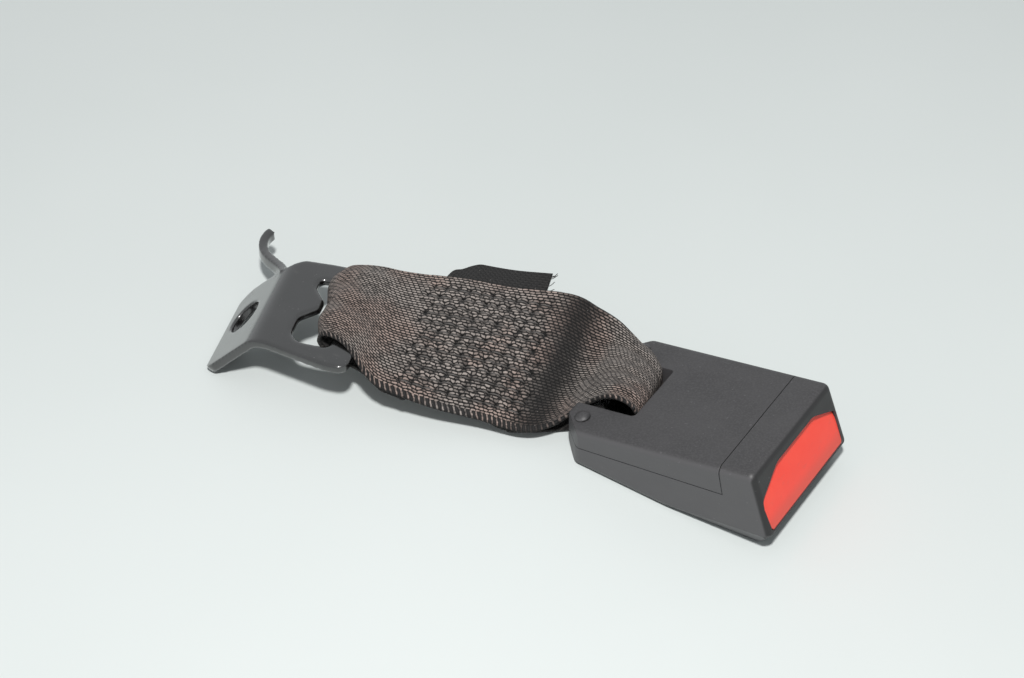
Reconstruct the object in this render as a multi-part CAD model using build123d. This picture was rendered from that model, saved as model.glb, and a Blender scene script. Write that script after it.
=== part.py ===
"""Rear-seat belt buckle on a short sewn webbing loop, with its bent steel anchor plate.

Millimetres, +Z up. The buckle lies along +X on its flat underside, push button at +X. The modelling
frame has x = 0 near the buckle's rear and y = 0 on its middle plane; at the end everything moves so
that the row origin is the centre of the whole object's footprint, on the surface it lies on.
"""

import math
import os

from build123d import *

# ---------------------------------------------------------------- driving dimensions
# Clearances
RUN = 0.05            # radial running clearance of a pivot
GAP = 0.3             # free gap between moving pieces
SEAT = 0.1            # gap of a piece that drops into its seat
SEAM = 0.25           # visible parting gap between the two covers

# Housing
HOUSING_FRONT_X = 69.5     # furthest front point, the lip under the button
HOUSING_REAR_X = -9.0
HOUSING_WIDTH = 52.0       # at its widest, low on the sides
SIDE_DRAFT = 0.037         # inward lean of each side per mm of height
TOP_Z_AT_ORIGIN = 15.3     # height of the sloping top above x = 0
TOP_SLOPE = 0.247          # rise of the top per mm forward
FRONT_TOP_X = 61.3         # where the sloping top meets the front
FRONT_LIP_Z = 8.6          # height of the front's lowest edge
UNDERCUT_X = 63.8          # where the undercut below the button meets the floor
WALL = 2.1
FLOOR = 1.5
REAR_CHAMFER = 8.5         # corner cut of the rear in plan
BELLY_START_X = 27.0       # where the underside's side chamfers begin to grow
BELLY_WIDTH = 5.0          # how far they reach in at the front
BELLY_REAR = 1.0           # their size behind that
COLLAR_X = 57.8            # rear of the thick collar round the button
SEAM_TOP_X = 49.6          # parting line across the top
SEAM_SIDE_X = 52.0         # parting line where it turns back along the side
SEAM_FRONT_Z = 17.8
SEAM_REAR_Z = 8.1          # above x = 0
EDGE_ROUND = 2.6           # along the top edges and down the front edges
RIB = 1.2                  # stiffening ribs inside the lower shell
RIB_X = (14.5, 22.0, 31.0, 45.0)
CLIP_X = (6.0, 36.0)       # snap tongues of the upper cover, rear end of each
CLIP_LENGTH = 6.0
CLIP_DEPTH = 4.0           # how far they reach below the parting line

# Webbing slot and bar of the buckle
SLOT_FRONT_X = 12.4
SLOT_HALF = 12.5
BAR_LENGTH_X = 8.2         # bar size along x
BAR_HEIGHT = 8.0
BAR_CENTRE_Z = 6.7
SLOT_WALL = 1.8

# Rivets through the two rear ears
RIVET_X = -3.0
RIVET_Y = 18.5
RIVET_R = 1.3
RIVET_HEAD_R = 2.6

# Steel channel
STEEL = 2.2
FRAME_HALF = 17.2          # outside half width of the channel
FRAME_FRONT_X = 57.5
FLANGE_REAR_X = 21.0
FLANGE_FRONT_X = 56.0
FLANGE_TOP_Z = 14.0
FLANGE_STEP_X = 50.8       # the flanges are low in front of here, under the pressed button
FRAME_BAR_X = 5.0          # steel bar inside the sleeve, size along x
FRAME_BAR_Z = 5.7          # its middle height
JOG_REAR_X = 14.6
JOG_FRONT_X = 18.4

# Tongue channel
TONGUE_HALF = 14.0         # half width of the way in
TONGUE_HEIGHT = 4.2        # height of the way in above the channel's base
MOUTH_HALF = 14.4

# Button
BUTTON_TRAVEL = 6.0
BUTTON_REAR_X = 54.0
BUTTON_ABOVE_TONGUE = 1.3  # its lower edge above the way in
BUTTON_TOP_Z = 26.3
BUTTON_FACE_LOW_X = 69.1   # face at its bottom edge
BUTTON_FACE_HIGH_X = 60.4  # face at its top edge
BUTTON_HALF = 23.2         # widest, at mid height
BUTTON_FOOT_HALF = 22.6    # at its bottom edge
BUTTON_CORNER_Y = 11.5     # the upper corners are cut from here
BUTTON_CORNER_DROP = 5.6
BUTTON_WALL = 1.8
BUTTON_GAP = 0.35

# Pegs of the slider, held in sockets of the button
PEG_FRONT_X = 63.0
PEG_Y = (4.0, 8.0)
PEG_Z = (12.4, 15.4)

# Latch
LATCH_PIVOT_X = 26.0
LATCH_PIVOT_Z = 11.5
LATCH_PIN_R = 1.6
LATCH_LIFT_DEG = 11.5
LATCH_HALF = 12.4
LATCH_PLATE = 2.5
LATCH_NOSE_REAR_X = 43.6
LATCH_NOSE_FRONT_X = 47.0
LATCH_NOSE_Z = 3.2
LATCH_LUG_X = 38.0

# Ejector
EJECTOR_TRAVEL = 12.0
EJECTOR_FRONT_X = 43.0
EJECTOR_LENGTH = 12.0
EJECTOR_HALF = 9.0

# Springs
WIRE = 0.6
BUTTON_SPRING_R = 2.1
BUTTON_SPRING_LENGTH = 15.0
BUTTON_SPRING_Y = 17.0
BUTTON_SPRING_Z = 17.2
LATCH_SPRING_R = 2.6
LATCH_SPRING_X = 34.0
EJECTOR_SPRING_R = 1.8

# Spring carrier
CARRIER_REAR_X = 29.0
CARRIER_FRONT_X = 47.0
CARRIER_PLATE_Z = 17.8
CARRIER_PLATE = 1.6

# Inertia lever, a counterweight geared to the button
INERTIA_X = 42.0
INERTIA_Z = 21.5
INERTIA_PIN_R = 0.9
INERTIA_HALF = 10.0
INERTIA_REACH = 5.4        # pivot to each end
INERTIA_SWING_DEG = 5.0

# Anchor plate
ANCHOR_STEEL = 3.2
ANCHOR_BEND_WIDTH = 38.0
ANCHOR_END_WIDTH = 47.0
ANCHOR_LENGTH = 34.0       # bend line to rounded end
ANCHOR_FLANGE = 25.0       # bend line to flange tip
ANCHOR_BEND_DEG = 46.0
ANCHOR_BEND_R = 4.5
ANCHOR_HOLE_R = 6.65
ANCHOR_HOLE_FROM_BEND = 14.3
ANCHOR_HOLE_Y = 1.5
ANCHOR_BAR = 9.0           # steel between the web slot and the rounded end
ANCHOR_SLOT_HALF = 15.0
ANCHOR_SLOT_LENGTH = 13.7
ANCHOR_BUMP = 5.5          # how far the tab stands into the web slot
ANCHOR_BUMP_Y = 3.5
HOOK_WIDTH = 4.2
SLOT_EDGE_R = 1.3          # rounded edges of the web slot

# Webbing
SPAN = 86.1                # between the two bars
ANCHOR_YAW = 18.4          # direction of the loop from the buckle's axis, degrees
WEB_WIDTH = 47.0
WEB_PLY = 1.3
WEB_GATHERED_ANCHOR = 27.6
WEB_GATHERED_BUCKLE = 23.6
EYE_R = 5.3                # inside radius of the loop round each bar
EYE_SLACK = 4.0            # how much longer than round each eye is
EYE_LENGTH = 13.0          # bar centre to where the two plies meet

# ---------------------------------------------------------------- derived places
BASE_TOP_Z = FLOOR + SEAT + STEEL
TONGUE_TOP_Z = BASE_TOP_Z + TONGUE_HEIGHT
BUTTON_BOTTOM_Z = TONGUE_TOP_Z + BUTTON_ABOVE_TONGUE
BAR_CENTRE_X = HOUSING_REAR_X + BAR_LENGTH_X / 2
FRONT_TOP_Z = TOP_Z_AT_ORIGIN + TOP_SLOPE * FRONT_TOP_X
CARRIER_TOP_Z = CARRIER_PLATE_Z + CARRIER_PLATE
TALL = 60.0                # taller and wider than anything, for cutting shapes
ANCHOR_BAR_X = ANCHOR_LENGTH - ANCHOR_BAR / 2
ANCHOR_DROP = ANCHOR_FLANGE * math.sin(math.radians(ANCHOR_BEND_DEG))
ANCHOR_TIP_EDGE = ANCHOR_STEEL / 2 * math.cos(math.radians(ANCHOR_BEND_DEG))
ANCHOR_Z = ANCHOR_DROP + ANCHOR_TIP_EDGE
YAW = math.radians(ANCHOR_YAW)
ANCHOR_PLACE = Location(
    (BAR_CENTRE_X - SPAN * math.cos(YAW), -SPAN * math.sin(YAW), ANCHOR_Z), (0, 0, ANCHOR_YAW)
)


# ---------------------------------------------------------------- helpers
def block(x0, x1, y0, y1, z0, z1):
    """Box between two corners."""
    centre = Pos((x0 + x1) / 2, (y0 + y1) / 2, (z0 + z1) / 2)
    return centre * Box(x1 - x0, y1 - y0, z1 - z0)


def twin(x0, x1, y0, y1, z0, z1):
    """The same box on both sides of the middle plane."""
    return block(x0, x1, y0, y1, z0, z1) + block(x0, x1, -y1, -y0, z0, z1)


def side_prism(points, y0, y1, rounds=()):
    """Outline in the XZ plane drawn out from y0 to y1; rounds are (point number, radius)."""
    outline = Plane.XZ * rounded_face(points, rounds)
    return Pos(0, y1, 0) * extrude(outline, y1 - y0)


def plan_prism(points, z0, z1, rounds=()):
    """Outline in the XY plane drawn up from z0 to z1."""
    return Pos(0, 0, z0) * extrude(rounded_face(points, rounds), z1 - z0)


def rounded_face(points, rounds):
    """Closed outline with some corners rounded; rounds are (point number, radius)."""
    radii = dict(rounds)
    count = len(points)
    corners = [Vector(*point) for point in points]
    edges, joints = [], []
    for n, here in enumerate(corners):
        back = corners[n - 1] - here
        ahead = corners[(n + 1) % count] - here
        if not radii.get(n):
            joints.append((here, here))
            continue
        half = math.radians(back.get_angle(ahead)) / 2
        reach = min(radii[n] / math.tan(half), 0.49 * back.length, 0.49 * ahead.length)
        radius = reach * math.tan(half)
        start = here + back.normalized() * reach
        end = here + ahead.normalized() * reach
        inward = (back.normalized() + ahead.normalized()).normalized()
        middle = here + inward * (radius / math.sin(half) - radius)
        edges.append(ThreePointArc(start, middle, end))
        joints.append((start, end))
    for n in range(count):
        start, end = joints[n][1], joints[(n + 1) % count][0]
        edges.append(Line(start, end))
    return make_face(edges)


def top_z(x):
    """Height of the housing's sloping top."""
    return TOP_Z_AT_ORIGIN + TOP_SLOPE * x


def half_width(z):
    """Half width of the housing's drafted side."""
    return HOUSING_WIDTH / 2 - SIDE_DRAFT * z


def coil(radius, length, turns):
    """Compression spring along +Z from the origin, of faceted wire."""
    middle = radius - WIRE / 2
    path = Helix(pitch=(length - WIRE) / turns, height=length - WIRE, radius=middle)
    wire = Plane(origin=path @ 0, z_dir=path % 0) * RegularPolygon(WIRE / 2, 4)
    return Pos(0, 0, WIRE / 2) * sweep(wire, path=path, is_frenet=True)


# ---------------------------------------------------------------- housing
def belly_corner(reach, rise, side):
    """Triangle cut from one lower edge, drawn past both its ends."""
    inner = Vector(half_width(0) - reach, 0)
    outer = Vector(half_width(rise), rise)
    past = (outer - inner) * 0.3
    inner, outer = inner - past, outer + past
    points = [(side * inner.X, inner.Y), (side * outer.X, outer.Y), (side * TALL, inner.Y)]
    return Plane.YZ * make_face(Polyline(*points, close=True))


def housing_form(inset=0.0):
    """Closed outer form of the buckle, or the same form set in by a wall."""
    profile = [
        (HOUSING_REAR_X, 0),
        (UNDERCUT_X, 0),
        (HOUSING_FRONT_X, FRONT_LIP_Z),
        (FRONT_TOP_X, FRONT_TOP_Z),
        (HOUSING_REAR_X, top_z(HOUSING_REAR_X)),
    ]
    outline = rounded_face(profile, [(0, 6.0), (1, 2.0), (2, 0.8), (3, EDGE_ROUND), (4, 1.5)])
    low_z, high_z = -2, FRONT_TOP_Z + 2
    low, high = half_width(low_z), half_width(high_z)
    draft = make_face(Polyline((low, low_z), (high, high_z), (-high, high_z), (-low, low_z), close=True))
    side, cut = HOUSING_WIDTH / 2, REAR_CHAMFER
    plan = [
        (HOUSING_REAR_X, cut - side),
        (HOUSING_REAR_X + cut, -side),
        (HOUSING_FRONT_X + 2 * WALL, -side),
        (HOUSING_FRONT_X + 2 * WALL, side),
        (HOUSING_REAR_X + cut, side),
        (HOUSING_REAR_X, side - cut),
    ]
    footprint = rounded_face(plan, [(0, 3.0), (1, 6.0), (4, 6.0), (5, 3.0)])
    if inset:
        outline = offset(outline, amount=-inset)
        footprint = offset(footprint, amount=-inset)
        draft = offset(draft, amount=-inset)
    body = extrude(Plane.XZ * outline, TALL, both=True)
    body &= Pos(-TALL, 0, 0) * extrude(Plane.YZ * draft, 3 * TALL)
    if not inset:
        body = fillet(long_edges(body), EDGE_ROUND)
    body &= Pos(0, 0, -1) * extrude(footprint, TALL)
    for y_side in (-1, 1):
        rear = belly_corner(BELLY_REAR + inset, BELLY_REAR + inset, y_side)
        front = belly_corner(BELLY_WIDTH + inset, FRONT_LIP_Z + inset, y_side)
        body -= Pos(-TALL, 0, 0) * extrude(rear, TALL + BELLY_START_X)
        body -= loft([Pos(BELLY_START_X, 0, 0) * rear, Pos(HOUSING_FRONT_X, 0, 0) * front], ruled=True)
    return body


def long_edges(body):
    """Edges along both sides of the sloping top, round the front corner and down the front."""
    picked = []
    for edge in body.edges():
        middle = edge.center()
        if abs(middle.Y) < half_width(FRONT_TOP_Z) - 1:
            continue
        if middle.Z > top_z(middle.X) - 1.5 and middle.X > 0 or middle.Z > (FRONT_LIP_Z + FRONT_TOP_Z) / 3:
            picked.append(edge)
    return picked


def button_outline(grow):
    """Outline of the button seen from the front, made larger by a gap."""
    mid = (BUTTON_BOTTOM_Z + BUTTON_TOP_Z) / 2
    right = [
        (BUTTON_FOOT_HALF, BUTTON_BOTTOM_Z),
        (BUTTON_HALF, mid),
        (BUTTON_HALF - 0.4, BUTTON_TOP_Z - BUTTON_CORNER_DROP),
        (BUTTON_CORNER_Y, BUTTON_TOP_Z),
    ]
    left = [(-y, z) for y, z in reversed(right)]
    face = rounded_face(right + left, [(0, 1.2), (2, 2.0), (3, 6.0), (4, 6.0), (5, 2.0), (7, 1.2)])
    return Plane.YZ * (offset(face, amount=grow) if grow else face)


def seam_side(offset_from_seam):
    """Everything above and behind the parting line between the two covers."""
    gap = offset_from_seam
    points = [
        (-TALL, SEAM_REAR_Z - (SEAM_FRONT_Z - SEAM_REAR_Z) / SEAM_SIDE_X * TALL + gap),
        (SEAM_SIDE_X - gap, SEAM_FRONT_Z + gap),
        (SEAM_TOP_X - gap, top_z(SEAM_TOP_X)),
        (SEAM_TOP_X - gap - 1.5, TALL),
        (-TALL, TALL),
    ]
    return side_prism(points, -TALL, TALL)


def housing_shell():
    """Both covers together: walls, collar, webbing notch, button opening and tongue mouth."""
    wall_half = SLOT_HALF + SLOT_WALL
    cavity = housing_form(WALL) & block(-TALL, COLLAR_X, -TALL, TALL, FLOOR, TALL)
    seat_half = FRAME_HALF + 1.0
    cavity += block(JOG_REAR_X - 1, COLLAR_X, -seat_half, seat_half, FLOOR, WALL + 1)
    cavity -= block(-TALL, SLOT_FRONT_X + SLOT_WALL, -wall_half, wall_half, -1, TALL)
    shell = housing_form() - cavity
    shell += ribs() & housing_form(WALL / 2)
    notch = block(-TALL, SLOT_FRONT_X, -SLOT_HALF, SLOT_HALF, -1, TALL)
    shell -= fillet(notch.edges().filter_by(Axis.Z).group_by(Axis.X)[-1], 1.5)
    bar_half = FRAME_BAR_X / 2 + SEAT
    shell -= block(
        BAR_CENTRE_X - bar_half,
        BAR_CENTRE_X + bar_half,
        -wall_half - 1,
        wall_half + 1,
        FRAME_BAR_Z - STEEL / 2 - SEAT,
        FRAME_BAR_Z + STEEL / 2 + SEAT,
    )
    shell -= Pos(COLLAR_X - 1, 0, 0) * extrude(button_outline(BUTTON_GAP), TALL)
    pocket_top = BUTTON_BOTTOM_Z - BUTTON_GAP - 1.2
    pocket = twin(COLLAR_X - 1, 66, MOUTH_HALF + 1.6, 22, FLOOR, pocket_top)
    shell -= pocket & housing_form(WALL)
    for side in (-1, 1):
        shell -= Pos(RIVET_X, side * RIVET_Y, 0) * Cylinder(RIVET_R + SEAT / 2, TALL)
    return shell - tongue_mouth()


def seam_z(x):
    """Height of the parting line along the side."""
    return SEAM_REAR_Z + (SEAM_FRONT_Z - SEAM_REAR_Z) / SEAM_SIDE_X * x


def ribs():
    """Upright ribs between the lower shell's sides and the steel channel."""
    inner = BUTTON_SPRING_Y + BUTTON_SPRING_R + 0.3 + 2 * GAP
    places = []
    for x in RIB_X:
        places.append(twin(x, x + RIB, inner, half_width(0), FLOOR - 0.2, seam_z(x) - 1.0))
    return Compound(places[0].solids() + [solid for place in places[1:] for solid in place.solids()])


def snap_tongues():
    """Tongues of the upper cover that reach down inside the lower shell."""
    wall_in = half_width(TOP_Z_AT_ORIGIN) - WALL
    face = wall_in - GAP - 0.2
    tongues = None
    for x in CLIP_X:
        low, high = seam_z(x) - CLIP_DEPTH, seam_z(x + CLIP_LENGTH) + 3.0
        blade = twin(x, x + CLIP_LENGTH, face - 1.3, face, low, high)
        blade += twin(x, x + CLIP_LENGTH, face - 1.3, wall_in + WALL / 2, seam_z(x + CLIP_LENGTH) + 0.6, high)
        tongues = blade if tongues is None else tongues + blade
    return tongues


def tongue_mouth():
    """Way in for the belt tongue under the button, with a lead-in on the lower lip."""
    points = [
        (COLLAR_X - 1, BASE_TOP_Z),
        (COLLAR_X + 2.0, BASE_TOP_Z),
        (HOUSING_FRONT_X, FLOOR - 0.6),
        (HOUSING_FRONT_X + 5, FLOOR - 0.6),
        (HOUSING_FRONT_X + 5, TONGUE_TOP_Z),
        (COLLAR_X - 1, TONGUE_TOP_Z),
    ]
    return side_prism(points, -MOUTH_HALF, MOUTH_HALF)


def upper_cover(shell):
    """Rear cover: sloping top and the upper part of the sides."""
    return (shell & seam_side(SEAM / 2)) + (snap_tongues() & housing_form(WALL / 2))


def lower_housing(shell):
    """Lower shell with the collar round the button."""
    return shell - seam_side(-SEAM / 2)


def rear_cover_pins():
    """Rivet with a domed head through each rear ear."""
    head_z = top_z(RIVET_X)
    dome_r = RIVET_HEAD_R * 1.3
    dome = Pos(0, 0, -math.sqrt(dome_r**2 - RIVET_HEAD_R**2)) * Sphere(dome_r)
    dome &= Pos(0, 0, TALL / 2) * Cylinder(TALL, TALL)
    head = Pos(0, 0, 0.2) * Cylinder(RIVET_HEAD_R, 0.4) + Pos(0, 0, 0.4) * dome
    lean = -math.degrees(math.atan(TOP_SLOPE))
    head = Pos(0, 0, head_z + 0.02) * Rot(0, lean, 0) * head
    shank = Pos(0, 0, (head_z + 0.5) / 2 + 0.2) * Cylinder(RIVET_R, head_z - 0.5 + 0.4)
    return Compound([Pos(RIVET_X, side * RIVET_Y, 0) * (head + shank) for side in (-1, 1)])


# ---------------------------------------------------------------- load path
def buckle_frame():
    """Steel channel: webbing bar, joggled base and two flanges."""
    low = FLOOR + SEAT
    bar_rear = BAR_CENTRE_X - FRAME_BAR_X / 2
    bar_low = FRAME_BAR_Z - STEEL / 2
    profile = [
        (bar_rear, bar_low),
        (JOG_REAR_X, bar_low),
        (JOG_FRONT_X, low),
        (FRAME_FRONT_X, low),
        (FRAME_FRONT_X, low + STEEL),
        (JOG_FRONT_X, low + STEEL),
        (JOG_REAR_X, bar_low + STEEL),
        (bar_rear, bar_low + STEEL),
    ]
    strip_half = SLOT_HALF + SLOT_WALL + SEAT
    strip_out = strip_half + 4.6
    plan = [
        (bar_rear, -strip_out + 4.6),
        (bar_rear + 4.6, -strip_out),
        (JOG_REAR_X, -strip_out),
        (FLANGE_REAR_X, -FRAME_HALF),
        (FRAME_FRONT_X, -FRAME_HALF),
    ]
    plan += [(x, -y) for x, y in reversed(plan)]
    base = side_prism(profile, -TALL, TALL) & plan_prism(plan, 0, TALL, [(0, 2), (9, 2), (4, 2), (5, 2)])
    base -= block(bar_rear + FRAME_BAR_X, JOG_REAR_X, -strip_half, strip_half, 0, TALL)
    nose_half = EJECTOR_HALF + 0.6
    base -= block(LATCH_NOSE_REAR_X - 0.6, LATCH_NOSE_FRONT_X + 0.6, -nose_half, nose_half, 0, TALL)
    step_z = BUTTON_BOTTOM_Z - GAP
    flange = [
        (FLANGE_REAR_X, low),
        (FLANGE_FRONT_X, low),
        (FLANGE_FRONT_X, step_z),
        (FLANGE_STEP_X, step_z),
        (FLANGE_STEP_X, FLANGE_TOP_Z),
        (FLANGE_REAR_X, FLANGE_TOP_Z),
    ]
    for y0, y1 in ((-FRAME_HALF, STEEL - FRAME_HALF), (FRAME_HALF - STEEL, FRAME_HALF)):
        base += side_prism(flange, y0, y1, [(2, 2.0), (3, 1.0), (4, 2.0), (5, 4.0)])
    base += block(JOG_FRONT_X, JOG_FRONT_X + 1.2, -2.5, 2.5, low, low + STEEL + 3.8)
    for side in (-1, 1):
        base -= Pos(RIVET_X, side * RIVET_Y, 0) * Cylinder(RIVET_R + GAP, TALL)
    return base - rod_y(LATCH_PIVOT_X, LATCH_PIVOT_Z, LATCH_PIN_R, -TALL, TALL)


def rod_y(x, z, radius, y0, y1):
    """Round bar across the buckle."""
    return Pos(x, (y0 + y1) / 2, z) * Rot(90, 0, 0) * Cylinder(radius, y1 - y0)


def web_bar_sleeve():
    """Smooth sleeve round the steel bar, which the webbing runs on."""
    half_x, half_z = BAR_LENGTH_X / 2, BAR_HEIGHT / 2
    corners = [(-half_x, -half_z), (half_x, -half_z), (half_x, half_z), (-half_x, half_z)]
    points = [(BAR_CENTRE_X + x, BAR_CENTRE_Z + z) for x, z in corners]
    half = SLOT_HALF - SEAT
    sleeve = side_prism(points, -half, half, [(n, 2.5) for n in range(4)])
    bar_half = FRAME_BAR_X / 2 + SEAT
    return sleeve - block(
        BAR_CENTRE_X - bar_half,
        BAR_CENTRE_X + bar_half,
        -TALL,
        TALL,
        FRAME_BAR_Z - STEEL / 2 - SEAT,
        FRAME_BAR_Z + STEEL / 2 + SEAT,
    )


# ---------------------------------------------------------------- latch
def latch_plate():
    """Latch with its nose, two knuckles on the pivot pin and two lugs for the ramps."""
    low = TONGUE_TOP_Z + 1.4
    high = low + LATCH_PLATE
    knuckle_r = LATCH_PIN_R + 1.6
    profile = [
        (LATCH_PIVOT_X, low),
        (LATCH_NOSE_REAR_X, low),
        (LATCH_NOSE_REAR_X, LATCH_NOSE_Z),
        (LATCH_NOSE_REAR_X + 1.4, LATCH_NOSE_Z),
        (LATCH_NOSE_FRONT_X, LATCH_NOSE_Z + 3.4),
        (LATCH_NOSE_FRONT_X, high),
        (LATCH_PIVOT_X, high),
    ]
    plate = side_prism(profile, -LATCH_HALF, LATCH_HALF, [(5, 1.2)])
    for side in (-1, 1):
        outer = sorted((side * EJECTOR_HALF, side * TALL))
        plate -= block(LATCH_NOSE_REAR_X - 3, TALL, *outer, 0, low)
    plate += rod_y(LATCH_PIVOT_X, LATCH_PIVOT_Z, knuckle_r, -LATCH_HALF, LATCH_HALF)
    plate -= rod_y(LATCH_PIVOT_X, LATCH_PIVOT_Z, LATCH_PIN_R + RUN, -TALL, TALL)
    plate -= block(0, LATCH_PIVOT_X + 4.5, -6, 6, 0, TALL)
    lug_low = high - 1.3
    lug_end = FRAME_HALF - STEEL - 0.5
    return plate + twin(LATCH_LUG_X - 1, LATCH_LUG_X + 1, LATCH_HALF - 0.2, lug_end, lug_low, high)


def latch_pivot_pin():
    """Pin held in the two flanges."""
    end = FRAME_HALF + 1.4
    return rod_y(LATCH_PIVOT_X, LATCH_PIVOT_Z, LATCH_PIN_R, -end, end)


def pivot_retaining_rings():
    """Ring on each end of the pin, outside the flanges."""
    rings = []
    for y0 in (-FRAME_HALF - SEAT - 0.7, FRAME_HALF + SEAT):
        ring = rod_y(LATCH_PIVOT_X, LATCH_PIVOT_Z, LATCH_PIN_R + 1.3, y0, y0 + 0.7)
        rings.append(ring - rod_y(LATCH_PIVOT_X, LATCH_PIVOT_Z, LATCH_PIN_R, y0 - 1, y0 + 2))
    return Compound(rings)


def latch_spring():
    """Spring between the latch and the carrier."""
    bottom = TONGUE_TOP_Z + 1.4 + LATCH_PLATE
    return Pos(LATCH_SPRING_X, 0, bottom) * coil(LATCH_SPRING_R, CARRIER_PLATE_Z - bottom, 3)


# ---------------------------------------------------------------- button
def release_button():
    """Hollow red button, its leaning face slightly crowned."""
    mid_z = (BUTTON_BOTTOM_Z + BUTTON_TOP_Z) / 2
    mid_x = (BUTTON_FACE_LOW_X + BUTTON_FACE_HIGH_X) / 2
    length = BUTTON_FACE_HIGH_X - BUTTON_REAR_X
    profile = [
        (BUTTON_REAR_X, BUTTON_BOTTOM_Z),
        (BUTTON_FACE_LOW_X, BUTTON_BOTTOM_Z),
        (mid_x + 0.5, mid_z),
        (BUTTON_FACE_HIGH_X, BUTTON_TOP_Z),
        (BUTTON_REAR_X, BUTTON_TOP_Z - TOP_SLOPE * length),
    ]
    solid = side_prism(profile, -TALL, TALL, [(2, 60.0)])
    button = solid & extrude(button_outline(0), TALL * 2)
    wall = BUTTON_WALL
    hollow = [
        (BUTTON_REAR_X - 1, BUTTON_BOTTOM_Z + wall),
        (BUTTON_FACE_LOW_X - wall - 1.2, BUTTON_BOTTOM_Z + wall),
        (BUTTON_FACE_HIGH_X - wall + 0.6, BUTTON_TOP_Z - wall - 1.0),
        (BUTTON_REAR_X - 1, BUTTON_TOP_Z - wall - 1.0 - TOP_SLOPE * (length + 1)),
    ]
    inside = side_prism(hollow, -TALL, TALL) & extrude(button_outline(-wall), TALL * 2)
    button -= inside
    foot_half = FRAME_HALF + GAP
    button -= block(0, COLLAR_X - 0.5, -foot_half, foot_half, 0, BUTTON_BOTTOM_Z + wall + 1)
    seat_x = CARRIER_FRONT_X + BUTTON_SPRING_LENGTH
    low, high = BUTTON_SPRING_Z - BUTTON_SPRING_R - 0.4, BUTTON_SPRING_Z + BUTTON_SPRING_R + 0.4
    inner, outer = BUTTON_SPRING_Y - BUTTON_SPRING_R, BUTTON_SPRING_Y + BUTTON_SPRING_R
    button += twin(seat_x, seat_x + 1.6, inner, outer, low, high)
    rim = 1.2
    button += peg_box(PEG_FRONT_X - 3, BUTTON_FACE_HIGH_X + 3.6, rim)
    return button - peg_box(0, PEG_FRONT_X + SEAT, SEAT)


def peg_box(x0, x1, grow):
    """Boxes round the two pegs, larger by a wall or a gap."""
    return twin(x0, x1, PEG_Y[0] - grow, PEG_Y[1] + grow, PEG_Z[0] - grow, PEG_Z[1] + grow)


def release_slider():
    """Carrier clipped into the button, with a ramp arm on each side of the latch."""
    low = TONGUE_TOP_Z + 0.5
    roof_low = low + 1.0
    ramp_foot = TONGUE_TOP_Z + 1.4 + LATCH_PLATE - 1.3 - GAP
    ramp_top = ramp_foot + 2.55
    end = COLLAR_X - 0.8
    arm = [
        (LATCH_LUG_X - 4, low),
        (48.6, low),
        (48.6, roof_low),
        (end, roof_low),
        (end, ramp_top),
        (LATCH_LUG_X + 1.2 + BUTTON_TRAVEL, ramp_top),
        (LATCH_LUG_X + 1.2, ramp_foot),
        (LATCH_LUG_X - 4, ramp_foot),
    ]
    arm_out = FRAME_HALF - STEEL - GAP
    arm_in = LATCH_HALF + 0.5
    slider = side_prism(arm, -arm_out, -arm_in) + side_prism(arm, arm_in, arm_out)
    slider += block(BUTTON_REAR_X + 0.3, end, -arm_out, arm_out, roof_low, ramp_top + 5)
    return slider + twin(end, PEG_FRONT_X, *PEG_Y, *PEG_Z)


def button_spring(side):
    """Return spring between the carrier and the button."""
    place = Pos(CARRIER_FRONT_X, side * BUTTON_SPRING_Y, BUTTON_SPRING_Z) * Rot(0, 90, 0)
    return place * coil(BUTTON_SPRING_R, BUTTON_SPRING_LENGTH, 5)


def spring_carrier():
    """Insert on top of the flanges that seats the latch and button springs."""
    half = BUTTON_SPRING_Y + BUTTON_SPRING_R + 0.3
    top = CARRIER_TOP_Z
    foot = FLANGE_TOP_Z + SEAT
    carrier = block(CARRIER_REAR_X, CARRIER_FRONT_X, -half, half, CARRIER_PLATE_Z, top)
    carrier += twin(CARRIER_REAR_X, 40, FRAME_HALF - STEEL, FRAME_HALF, foot, CARRIER_PLATE_Z)
    seat = BUTTON_SPRING_Y - BUTTON_SPRING_R - 0.3
    carrier += twin(CARRIER_FRONT_X - 4, CARRIER_FRONT_X, seat, half, foot, CARRIER_PLATE_Z)
    ear_in, ear_out = INERTIA_HALF + GAP, INERTIA_HALF + GAP + 2.0
    ear_half = INERTIA_PIN_R + 0.8
    ear_x = INERTIA_X - ear_half, INERTIA_X + ear_half
    carrier += twin(*ear_x, ear_in, ear_out, top - 0.2, INERTIA_Z + INERTIA_PIN_R + 0.4)
    return carrier - rod_y(INERTIA_X, INERTIA_Z, INERTIA_PIN_R, -TALL, TALL)


def inertia_pivot_pin():
    """Pin held in the carrier's two ears."""
    end = INERTIA_HALF + GAP + 2.0
    return rod_y(INERTIA_X, INERTIA_Z, INERTIA_PIN_R, -end, end)


def inertia_lever():
    """Counterweight above the carrier: heavy nose, knuckle and short tail."""
    tail, nose = INERTIA_X - INERTIA_REACH, INERTIA_X + INERTIA_REACH
    low = CARRIER_TOP_Z + GAP + INERTIA_REACH * math.sin(math.radians(INERTIA_SWING_DEG))
    profile = [
        (tail, low),
        (nose, low),
        (nose, low + 3.4),
        (nose - 2.8, low + 3.4),
        (nose - 3.6, low + 1.4),
        (tail, low + 1.0),
    ]
    lever = side_prism(profile, -INERTIA_HALF, INERTIA_HALF, [(2, 0.6), (3, 0.6)])
    lever += rod_y(INERTIA_X, INERTIA_Z, INERTIA_PIN_R + 0.7, -INERTIA_HALF, INERTIA_HALF)
    return lever - rod_y(INERTIA_X, INERTIA_Z, INERTIA_PIN_R + RUN, -TALL, TALL)


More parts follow.
